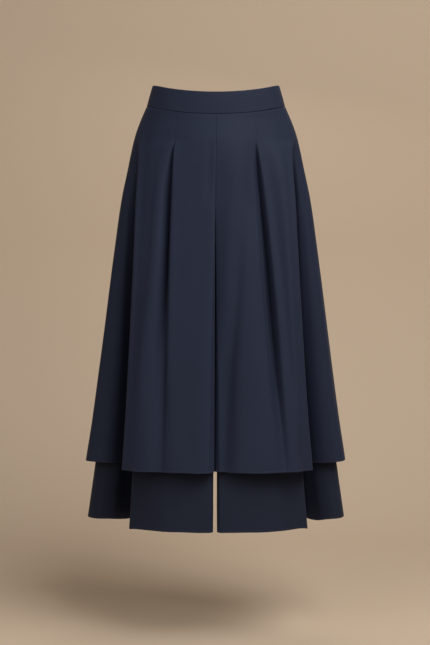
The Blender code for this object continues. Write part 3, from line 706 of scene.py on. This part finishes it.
def legPanel(layer, panel, side, material):
    made = panelGrid(layer, panel, side)
    out, into = clothRelief(made)
    grid = made["grid"].copy()
    grid[..., 2] += hemWander(made)
    normal = level3(made["normal"])
    toSide = np.array([side, 1.0, 1.0])
    outer, inner = (grid + normal * out[..., None]) * toSide, (grid + normal * into[..., None]) * toSide
    edge = np.zeros(made["present"].shape, bool)
    edge[0, : made["mains"]] = True
    edge[: made["first"] + 1, made["mains"] - 1] = True
    edge[made["first"], made["mains"] - 1 :] = True
    edge[made["first"] :, -1] = True
    edge[:, 0] = True
    edge[-1] = True
    # painted highlight: a narrow paler band along the hem, where light would catch the rounded edge
    paintedHighlight = np.exp(-((made["edges"]["hem"] / 2.0) ** 2))
    cut = np.dstack([made["along"], made["grid"][..., 2]])
    name = f"cloth_{layer}_{panel}_{sideWord[side]}"
    flip = made["facing"] * side > 0
    obj = wallMesh(name, outer, inner, made["present"], edge, flip, cut, paintedHighlight, material)
    row = len(outer) - 1 - cloth["hemSteps"][::-1].index(cloth["stitchLine"])
    lower = made["along"][made["first"] :]
    size = {
        "width": (lower[-1, 0] - lower[-1, -1]) * mm,
        "length": (garment["waistSeam"] - garment["hem"][layer]) * cloth["slope"] * mm,
        "line": outer[row],
        "lineNormal": (normal * toSide)[row],
    }
    return obj, size


# Sewing thread

stitching = {"pitch": 3.0, "length": 2.3, "radius": 0.17, "sides": 6}


def stitchRun(name, line, normals, material):
    # short threads along a line of points, their ends sunk into the cloth
    along = np.concatenate([[0.0], np.cumsum(np.linalg.norm(np.diff(line, axis=0), axis=1))])
    at = np.arange(stitching["pitch"], along[-1] - stitching["pitch"] / 2, stitching["pitch"])
    ahead = stitching["length"] / 2

    def pick(values, places):
        return np.stack([np.interp(places, along, values[:, i]) for i in range(3)], axis=-1)

    middle = pick(line, at)
    forward = unit(pick(line, at + ahead) - pick(line, at - ahead))
    out = pick(normals, at)
    out = unit(out - forward * (out * forward).sum(axis=-1, keepdims=True))
    across = np.cross(forward, out)
    # along the thread, its thickness there and its rise
    rings = ((-0.5, 0.45, -0.8), (-0.3, 1.0, 0.2), (0.3, 1.0, 0.2), (0.5, 0.45, -0.8))
    turns = fullTurn * np.arange(stitching["sides"]) / stitching["sides"]
    points = []
    for a, thick, rise in rings:
        centre = middle + forward * a * stitching["length"] + out * rise * stitching["radius"]
        for turn in turns:
            radius = stitching["radius"] * thick
            points.append(centre + across * math.cos(turn) * radius + out * math.sin(turn) * radius)
    points = np.stack(points, axis=1)                       # stitch, point, 3
    sides, count = stitching["sides"], points.shape[1]
    quads = []
    for ring in range(len(rings) - 1):
        for i in range(sides):
            j = (i + 1) % sides
            quads.append((ring * sides + i, ring * sides + j, (ring + 1) * sides + j, (ring + 1) * sides + i))
    caps = [tuple(range(sides))[::-1], tuple(range(count - sides, count))]
    faces = []
    for n in range(len(points)):
        faces += [tuple(v + n * count for v in face) for face in quads + caps]
    mesh = bpy.data.meshes.new(name)
    mesh.from_pydata((points.reshape(-1, 3) * mm).tolist(), [], faces)
    mesh.shade_smooth()
    return newObject(name, mesh, material)


# Waistband

band = {
    "height": 42.2,
    "frontRise": 1.4,          # the front is so much taller at its centre
    "cornerSink": 1.3,         # and its upper edge sinks a little at the side seams
    "sinkFrom": 62,            # from this many degrees on
    "sinkOver": 28,
    "meanRadius": 115,
    "crown": 0.25,             # how far it bows out at half its height
    "seamRoll": 0.3,
    "seamRollWidth": 1.8,
    "wall": 3.0,
    "proud": 0.6,
    "lean": {"side": 11.5, "front": 4.0, "back": 4.0},
    "endRadius": 0.6,
    "topLine": 3.2,            # the rolled upper edge
    "seatLine": 8.0,           # the seam allowances' edge, showing through
    "lineDepth": 0.16,
    "columnPitch": 2.4,
    "rows": (0.0, 0.25, 0.6, 1.1, 1.8, 3.0, 4.5, 6.0, 7.0, 8.0, 9.0, 10.5, 13.0, 16.0, 19.0, 22.0, 25.0, 28.0,
             31.0, 34.0, 36.5, 38.4, 39.0, 39.6, 40.4, 41.1, 41.6, 41.95, 42.2),
}


def bandRadius(panel, up):
    waist = dict(zip(bodyNames, bodyRows[0]))
    side = waist["outerSide"] + band["proud"] - band["lean"]["side"] * up
    depth = waist["outer" + panel.capitalize()] + band["proud"] - band["lean"][panel] * up
    return side, depth


def bandPiece(name, panel, firstAngle, lastAngle, material):
    facing = -1 if panel == "front" else 1
    rise = np.array(band["rows"])[::-1]
    length = math.radians(abs(lastAngle - firstAngle)) * band["meanRadius"]
    near = np.degrees(np.array(cloth["edgeSteps"][:3]) / band["meanRadius"])
    steps = round(length / band["columnPitch"])
    even = firstAngle + (lastAngle - firstAngle) * np.arange(steps + 1) / steps
    even = even[(np.abs(even - firstAngle) > near[-1] * 1.3) & (np.abs(even - lastAngle) > near[-1] * 1.3)]
    angles = np.sort(np.concatenate([[firstAngle], firstAngle + near, even, lastAngle - near, [lastAngle]]))
    turn, up = np.radians(angles)[None, :], (rise / band["height"])[:, None]
    side, depth = bandRadius(panel, up)
    x, y = side * np.sin(turn), facing * depth * np.cos(turn)
    taller = band["frontRise"] * np.cos(turn) if panel == "front" else 0.0
    rounded = band["cornerSink"] * ease((np.abs(angles) - band["sinkFrom"]) / band["sinkOver"])
    z = seamHeight(panel, np.abs(angles))[None, :] + rise[:, None] + (taller - rounded) * up
    normal = unit(np.dstack([np.sin(turn) / side, facing * np.cos(turn) / depth]))
    for column, angle in ((0, firstAngle), (-1, lastAngle)):
        if abs(angle) == 90.0:
            y[:, column] = 0.0
            normal[:, column] = (math.copysign(1, angle), 0.0)
        else:
            x[:, column] = math.copysign(garment["halfZipGap"], firstAngle + lastAngle)
            normal[:, column] = (0.0, facing)
    grid = np.dstack([x, y, np.broadcast_to(z, x.shape)])
    length = np.linalg.norm(np.diff(grid, axis=1), axis=-1)
    along = np.concatenate([np.zeros((len(rise), 1)), np.cumsum(length, axis=1)], axis=1)
    ends = np.minimum(along, along[:, -1:] - along)
    vertical = np.minimum(rise, band["height"] - rise)[:, None] + np.zeros(x.shape)
    half, small = band["wall"] / 2, band["endRadius"]
    taper = np.maximum(roundedEdge(vertical, half) / half, roundedEdge(ends, small) / small)
    lift = band["crown"] * np.sin(math.pi * up) + np.zeros(x.shape)
    lift -= band["lineDepth"] * np.exp(-(((band["height"] - rise[:, None] - band["topLine"]) / 0.55) ** 2))
    lift -= band["lineDepth"] * 0.6 * np.exp(-(((rise[:, None] - band["seatLine"]) / 0.8) ** 2))
    lift -= band["seamRoll"] * (1 - ease(ends / band["seamRollWidth"]))
    out = lift - half * taper
    into = -band["wall"] + half * taper
    # at the very edge both faces meet halfway
    edge = rimOf(x.shape)
    out[edge] = -half
    normal3 = level3(normal)
    outer, inner = grid + normal3 * out[..., None], grid + normal3 * into[..., None]
    cut = np.dstack([along, np.broadcast_to(z, x.shape)])
    # painted highlight: paler along the waistband's rolled top edge
    wearAndHighlight = np.exp(-(((band["height"] - rise) / 1.5) ** 2))[:, None] + np.zeros(x.shape)
    obj = wallMesh(name, outer, inner, np.ones(x.shape, bool), edge, facing < 0, cut, wearAndHighlight, material)
    return obj, along[:, -1].max() * mm


# Zip tapes and coil, behind the centre-back opening

zipSet = {
    "halfWidth": 11.0,
    "wall": 0.6,
    "clear": 1.0,
    "panelWall": 1.2,          # walls that the tapes lie behind
    "bandWall": 3.2,
    "bandClear": 0.4,
    "top": 16.0,
    "pitch": 3.0,
    "round": 136.0,            # how round the tapes lie
    "coilPitch": 1.3,
    "coilRadius": 0.28,
    "coilHalf": {"across": 1.9, "deep": 0.8},
    "coilBehind": 1.6,
    "coilSteps": 10,           # to a turn
}


def tapeDepth(z):
    panels = curveThrough(bodyRows, bodyNames, "outerBack", z) - zipSet["panelWall"] - zipSet["clear"]
    up = (z - garment["waistSeam"]) / band["height"]
    inBand = bandRadius("back", np.maximum(up, 0.0))[1] - zipSet["bandWall"] - zipSet["bandClear"]
    return np.where(up < -0.15, panels, np.minimum(inBand, panels))


def zipTape(name, side, material):
    bottom = garment["zipEnd"] - 6
    rows = round((zipSet["top"] - bottom) / zipSet["pitch"])
    z = (zipSet["top"] + (bottom - zipSet["top"]) * np.arange(rows + 1) / rows)[:, None]
    across = np.array([zipSet["halfWidth"], 10.7, 9.0, 7.0, 5.0, 3.0, 1.5, 0.5, 0.12])[None, :]
    y = tapeDepth(z) * np.sqrt(1 - (across / zipSet["round"]) ** 2)
    fold = 0.5 * np.exp(-((across / 1.2) ** 2))            # the tape turns in at the coil
    x, z = np.broadcast_to(across, y.shape), np.broadcast_to(z, y.shape)
    outer = np.dstack([x * side, y - fold, z])
    inner = np.dstack([x * side, y - fold - zipSet["wall"], z])
    edge = rimOf(x.shape)
    middle = (outer + inner) / 2
    outer[edge] = middle[edge]
    cut = np.dstack([x, z])
    return wallMesh(name, outer, inner, np.ones(x.shape, bool), edge, side > 0, cut, 0 * x, material)


def zipCoil(name, material):
    # one tight spiral on the inside of the tapes
    bottom = garment["zipEnd"] - 2
    turnsCount = (zipSet["top"] - 2 - bottom) / zipSet["coilPitch"]
    steps = int(turnsCount * zipSet["coilSteps"])
    turn = fullTurn * np.arange(steps + 1) / zipSet["coilSteps"]
    z = zipSet["top"] - 2 - zipSet["coilPitch"] * turn / fullTurn
    y = tapeDepth(z) - zipSet["wall"] - zipSet["coilBehind"] + zipSet["coilHalf"]["deep"] * np.cos(turn)
    x = zipSet["coilHalf"]["across"] * np.sin(turn)
    curve = bpy.data.curves.new(name, "CURVE")
    curve.dimensions = "3D"
    curve.bevel_depth = zipSet["coilRadius"] * mm
    curve.bevel_resolution = 1
    curve.use_fill_caps = True
    spline = curve.splines.new("POLY")
    spline.points.add(steps)
    for point, co in zip(spline.points, np.stack([x, y, z], axis=-1) * mm):
        point.co = (*co, 1.0)
    helper = bpy.data.objects.new(name, curve)
    bpy.context.collection.objects.link(helper)
    mesh = bpy.data.meshes.new_from_object(helper.evaluated_get(bpy.context.evaluated_depsgraph_get()))
    bpy.data.objects.remove(helper, do_unlink=True)
    mesh.name = name
    mesh.shade_smooth()
    return newObject(name, mesh, material)


# Node groups that the cloths share

def newGroup(name, inputs, outputs):
    group = bpy.data.node_groups.new(name, "ShaderNodeTree")
    for socket, kind, value in inputs:
        made = group.interface.new_socket(name=socket, in_out="INPUT", socket_type=kind)
        if value is not None:
            made.default_value = value
    for socket, kind in outputs:
        group.interface.new_socket(name=socket, in_out="OUTPUT", socket_type=kind)
    return group, group.nodes.new("NodeGroupInput"), group.nodes.new("NodeGroupOutput")


def feed(tree, node, links):
    # links: (the node's input, what feeds it), either a socket or a plain value
    for key, value in links:
        if isinstance(value, bpy.types.NodeSocket):
            tree.links.new(value, node.inputs[key])
        else:
            node.inputs[key].default_value = value


def addNode(tree, kind, links=(), **settings):
    node = tree.nodes.new(kind)
    for key, value in settings.items():
        setattr(node, key, value)
    feed(tree, node, links)
    return node


def mathNode(tree, operation, a, b=0.0):
    return addNode(tree, "ShaderNodeMath", ((0, a), (1, b)), operation=operation).outputs[0]


def plus(tree, a, b):
    return mathNode(tree, "ADD", a, b)


def times(tree, a, b):
    return mathNode(tree, "MULTIPLY", a, b)


def noiseNode(tree, place, scale, detail, roughness=0.5):
    links = (("Vector", place), ("Scale", scale), ("Detail", detail), ("Roughness", roughness))
    return addNode(tree, "ShaderNodeTexNoise", links).outputs[0]


def mixedColour(tree, factor, first, second):
    links = (("Factor", factor), (6, first), (7, second))
    return addNode(tree, "ShaderNodeMix", links, data_type="RGBA").outputs[2]


def crepeGroup():
    # a fine, pebbly weave: threads both ways with a random crinkle
    inputs = [
        ("Position", "NodeSocketVector", None),
        ("Thread", "NodeSocketFloat", 0.35),
        ("Crinkle", "NodeSocketFloat", 0.5),
    ]
    outputs = [("Height", "NodeSocketFloat"), ("Pebble", "NodeSocketFloat")]
    group, given, result = newGroup("crepe weave", inputs, outputs)
    scale = mathNode(group, "DIVIDE", 1000.0, given.outputs["Thread"])
    links = ((0, given.outputs["Position"]), ("Scale", scale))
    place = addNode(group, "ShaderNodeVectorMath", links, operation="SCALE").outputs[0]
    crinkle = noiseNode(group, place, 0.45, 2.0, 0.6)
    split = addNode(group, "ShaderNodeSeparateXYZ", ((0, place),))
    shift = times(group, crinkle, 2.4)
    threads = []
    for way in split.outputs[:2]:
        threads.append(mathNode(group, "SINE", plus(group, times(group, way, 6.283), shift)))
    weave = times(group, plus(group, *threads), 0.25)
    pebble = times(group, mathNode(group, "SUBTRACT", crinkle, 0.5), 2.0)
    mixed = plus(group, weave, times(group, pebble, given.outputs["Crinkle"]))
    group.links.new(mixed, result.inputs["Height"])
    group.links.new(plus(group, times(group, mixed, 0.5), 0.5), result.inputs["Pebble"])


def toneGroup():
    # cloth colour: a slow change over the piece, speckled by the threads, and a painted highlight that turns
    # it paler along an edge
    inputs = [
        ("Position", "NodeSocketVector", None),
        ("Pebble", "NodeSocketFloat", 0.5),
        ("PaintedHighlight", "NodeSocketFloat", 0.0),
        ("Dark", "NodeSocketColor", (0.02, 0.025, 0.05, 1)),
        ("Light", "NodeSocketColor", (0.03, 0.036, 0.066, 1)),
        ("HighlightColour", "NodeSocketColor", (0.04, 0.048, 0.085, 1)),
    ]
    outputs = [("Colour", "NodeSocketColor"), ("Roughness", "NodeSocketFloat")]
    group, given, result = newGroup("cloth tone", inputs, outputs)
    slow = noiseNode(group, given.outputs["Position"], 9.0, 3.0, 0.55)
    speck = plus(group, times(group, slow, 0.55), times(group, given.outputs["Pebble"], 0.45))
    tone = mixedColour(group, speck, given.outputs["Dark"], given.outputs["Light"])
    # painted highlight: mixes towards the highlight colour where the mask is set
    edge = mixedColour(group, times(group, given.outputs["PaintedHighlight"], 0.45), tone, given.outputs["HighlightColour"])
    group.links.new(edge, result.inputs["Colour"])
    rough = plus(group, 0.62, times(group, given.outputs["Pebble"], 0.16))
    group.links.new(rough, result.inputs["Roughness"])


toneNames = ("Dark", "Light", "HighlightColour")
# each look: the cloth's dark and light tones, then the colour of its painted highlight
clothLooks = {
    "outer": ((0.0136, 0.0188, 0.0385), (0.0180, 0.0245, 0.0485), (0.027, 0.036, 0.068)),
    # the under layer is the same cloth as the outer; its darker tones are painted shade for where the outer
    # tier shades it
    "under": ((0.0108, 0.0146, 0.0290), (0.0142, 0.0190, 0.0364), (0.023, 0.030, 0.056)),
    "band": ((0.0134, 0.0184, 0.0372), (0.0178, 0.0238, 0.0472), (0.027, 0.035, 0.066)),
    "tape": ((0.0110, 0.0150, 0.0290), (0.0150, 0.0200, 0.0380), (0.020, 0.026, 0.046)),
    "thread": ((0.0210, 0.0280, 0.0510), (0.0270, 0.0350, 0.0630), (0.027, 0.035, 0.063)),
}
clothFinish = {
    "Specular IOR Level": 0.12,
    "Sheen Weight": 0.05,
    "Sheen Roughness": 0.45,
    "Sheen Tint": (0.55, 0.65, 0.9, 1.0),
}
metalLook = {"dark": (0.03, 0.036, 0.062, 1), "wearAndHighlight": (0.06, 0.07, 0.11, 1), "metallic": 0.85}


def newMaterial(name):
    material = bpy.data.materials.new(name)
    material.use_nodes = True
    return material, material.node_tree, material.node_tree.nodes["Principled BSDF"]


def clothMaterial(name, thread=0.34, crinkle=0.9, depth=0.05):
    material, tree, shader = newMaterial(name + "Cloth")
    cut = addNode(tree, "ShaderNodeUVMap", uv_map="cut")
    # the painted highlight's mask along hems and edges
    paintedHighlight = addNode(tree, "ShaderNodeAttribute", attribute_name="paintedHighlight")
    links = (("Position", cut.outputs[0]), ("Thread", thread), ("Crinkle", crinkle))
    weave = addNode(tree, "ShaderNodeGroup", node_tree=bpy.data.node_groups["crepe weave"])
    tone = addNode(tree, "ShaderNodeGroup", node_tree=bpy.data.node_groups["cloth tone"])
    feed(tree, weave, links)
    links = (("Position", cut.outputs[0]), ("Pebble", weave.outputs["Pebble"]), ("PaintedHighlight", paintedHighlight.outputs["Fac"]))
    feed(tree, tone, links)
    feed(tree, tone, [(key, (*colour, 1.0)) for key, colour in zip(toneNames, clothLooks[name])])
    links = (("Height", weave.outputs["Height"]), ("Strength", 0.35), ("Distance", depth * mm))
    bump = addNode(tree, "ShaderNodeBump", links)
    feed(tree, shader, (("Normal", bump.outputs[0]), ("Base Color", tone.outputs["Colour"])))
    feed(tree, shader, [("Roughness", tone.outputs["Roughness"]), *clothFinish.items()])
    return material


def metalMaterial():
    # dark lacquered zip metal, rubbed a little bright
    material, tree, shader = newMaterial("zipMetal")
    rub = noiseNode(tree, addNode(tree, "ShaderNodeTexCoord").outputs["Object"], 900.0, 4.0)
    colour = mixedColour(tree, rub, metalLook["dark"], metalLook["wearAndHighlight"])
    rough = plus(tree, 0.22, times(tree, rub, 0.25))
    feed(tree, shader, (("Base Color", colour), ("Roughness", rough), ("Metallic", metalLook["metallic"])))
    return material


# Making the pieces

crepeGroup()
toneGroup()
materials = {name: clothMaterial(name) for name in ("outer", "under", "band")}
materials["tape"] = clothMaterial("tape", thread=0.9, crinkle=0.1, depth=0.12)
materials["thread"] = clothMaterial("thread", thread=0.25, crinkle=0.2, depth=0.03)
materials["metal"] = metalMaterial()
print("materials made")

for layer in ("outer", "under"):
    for panel in ("front", "back"):
        for side in (right, left):
            piece, size = legPanel(layer, panel, side, materials[layer])
            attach(piece, "garment")
            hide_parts(f"{layer}_{panel}_{sideWord[side]}")
            name = f"hem_stitches_{layer}_{panel}_{sideWord[side]}"
            stitches = stitchRun(name, size["line"], size["lineNormal"], materials["thread"])
            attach(stitches, "garment")

for name, panel, first, last in (
    ("waistband_front", "front", -90.0, 90.0),
    ("waistband_back_right", "back", -90.0, 0.0),
    ("waistband_back_left", "back", 0.0, 90.0),
):
    piece, length = bandPiece("cloth_" + name, panel, first, last, materials["band"])
    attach(piece, "garment")
    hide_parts(name)
    print("waistband", piece.name, len(piece.data.polygons), "faces, flat", round(length, 3))

for side in (right, left):
    piece = zipTape(f"tape_{sideWord[side]}", side, materials["tape"])
    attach(piece, "garment")
    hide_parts("zip_tape")
coil = zipCoil("zip_coil", materials["tape"])
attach(coil, "garment")
for name in ("zip_slider", "zip_pull"):
    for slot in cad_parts[name].material_slots:
        slot.material = materials["metal"]
print("zip made")

# The studio: a pale floor that runs up into the wall, three soft lights in front and a weak one behind

studio = {
    "floor": -1050.0,
    "wall": 1700.0,
    "sweep": 900.0,
    "halfWidth": 6000.0,
    "near": -5000.0,
    "height": 4500.0,
    "sweepSteps": 24,
    "colour": (0.59, 0.475, 0.36),
    "keyLight": {"turn": 42.0, "rise": 50.0, "distance": 3.0, "size": 2.4, "power": 62.0},
    "frontLight": {"turn": 28.0, "rise": 34.0, "distance": 3.2, "size": 2.4, "power": 42.0},
    "fillLight": {"turn": -42.0, "rise": 22.0, "distance": 3.5, "size": 2.5, "power": 33.0},
    "backLight": {"turn": 168.0, "rise": 48.0, "distance": 1.75, "size": 0.9, "power": 4.5},
    "lightColour": (1.0, 0.97, 0.94),
    "aim": (0.0, 0.0, -0.42),
    "world": (0.9, 0.86, 0.82),
    "worldStrength": 0.02,
}


def backdrop():
    profile = [(studio["near"], studio["floor"])]
    for i in range(studio["sweepSteps"] + 1):
        turn = math.pi / 2 * i / studio["sweepSteps"]
        profile.append((
            studio["wall"] - studio["sweep"] * (1 - math.sin(turn)),
            studio["floor"] + studio["sweep"] * (1 - math.cos(turn)),
        ))
    profile.append((studio["wall"], studio["height"]))
    sides = (-studio["halfWidth"], studio["halfWidth"])
    points = [(x * mm, y * mm, z * mm) for x in sides for y, z in profile]
    count = len(profile)
    faces = [(i, count + i, count + i + 1, i + 1) for i in range(count - 1)]
    mesh = bpy.data.meshes.new("studio_floor")
    mesh.from_pydata(points, [], faces)
    mesh.shade_smooth()
    material, tree, shader = newMaterial("paper")
    paper = (("Base Color", (*studio["colour"], 1.0)), ("Roughness", 0.9), ("Specular IOR Level", 0.1))
    feed(tree, shader, paper)
    # clear from behind, so that the garment's back can be looked at through it
    sideSeen = addNode(tree, "ShaderNodeNewGeometry")
    clear = addNode(tree, "ShaderNodeBsdfTransparent")
    links = ((0, sideSeen.outputs["Backfacing"]), (1, shader.outputs[0]), (2, clear.outputs[0]))
    mixed = addNode(tree, "ShaderNodeMixShader", links)
    tree.links.new(mixed.outputs[0], tree.nodes["Material Output"].inputs["Surface"])
    obj = newObject("studio_floor", mesh, material)


def softLight(name, place):
    light = bpy.data.lights.new(name, "AREA")
    light.shape = "DISK"
    light.size = place["size"]
    light.energy = place["power"]
    light.color = studio["lightColour"]
    obj = bpy.data.objects.new(name, light)
    bpy.context.collection.objects.link(obj)
    turn, rise = math.radians(place["turn"]), math.radians(place["rise"])
    towards = Vector((math.sin(turn) * math.cos(rise), -math.cos(turn) * math.cos(rise), math.sin(rise)))
    obj.location = Vector(studio["aim"]) + towards * place["distance"]
    obj.rotation_euler = (-towards).to_track_quat("-Z", "Y").to_euler()


backdrop()
for name in ("keyLight", "frontLight", "fillLight", "backLight"):
    softLight(name, studio[name])
world = bpy.data.worlds.new("studioAir")
bpy.context.scene.world = world
world.use_nodes = True
world.node_tree.nodes["Background"].inputs[0].default_value = (*studio["world"], 1.0)
world.node_tree.nodes["Background"].inputs[1].default_value = studio["worldStrength"]
bpy.context.scene.view_settings.view_transform = "Standard"

camera = {
    "place": (-0.0019, -2.2, -0.4502),
    "turn": (math.radians(90), 0.0, 0.0),
    "height": 1.2825,          # what the frame takes in at the garment's mid-depth
    "sensor": 36.0,
}
lens = bpy.data.cameras.new("camera")
lens.sensor_fit = "VERTICAL"
lens.sensor_height = camera["sensor"]
lens.lens = camera["sensor"] * -camera["place"][1] / camera["height"]
viewer = bpy.data.objects.new("camera", lens)
bpy.context.collection.objects.link(viewer)
viewer.location = camera["place"]
viewer.rotation_euler = camera["turn"]
bpy.context.scene.camera = viewer
print("studio made")

bpy.context.view_layer.update()
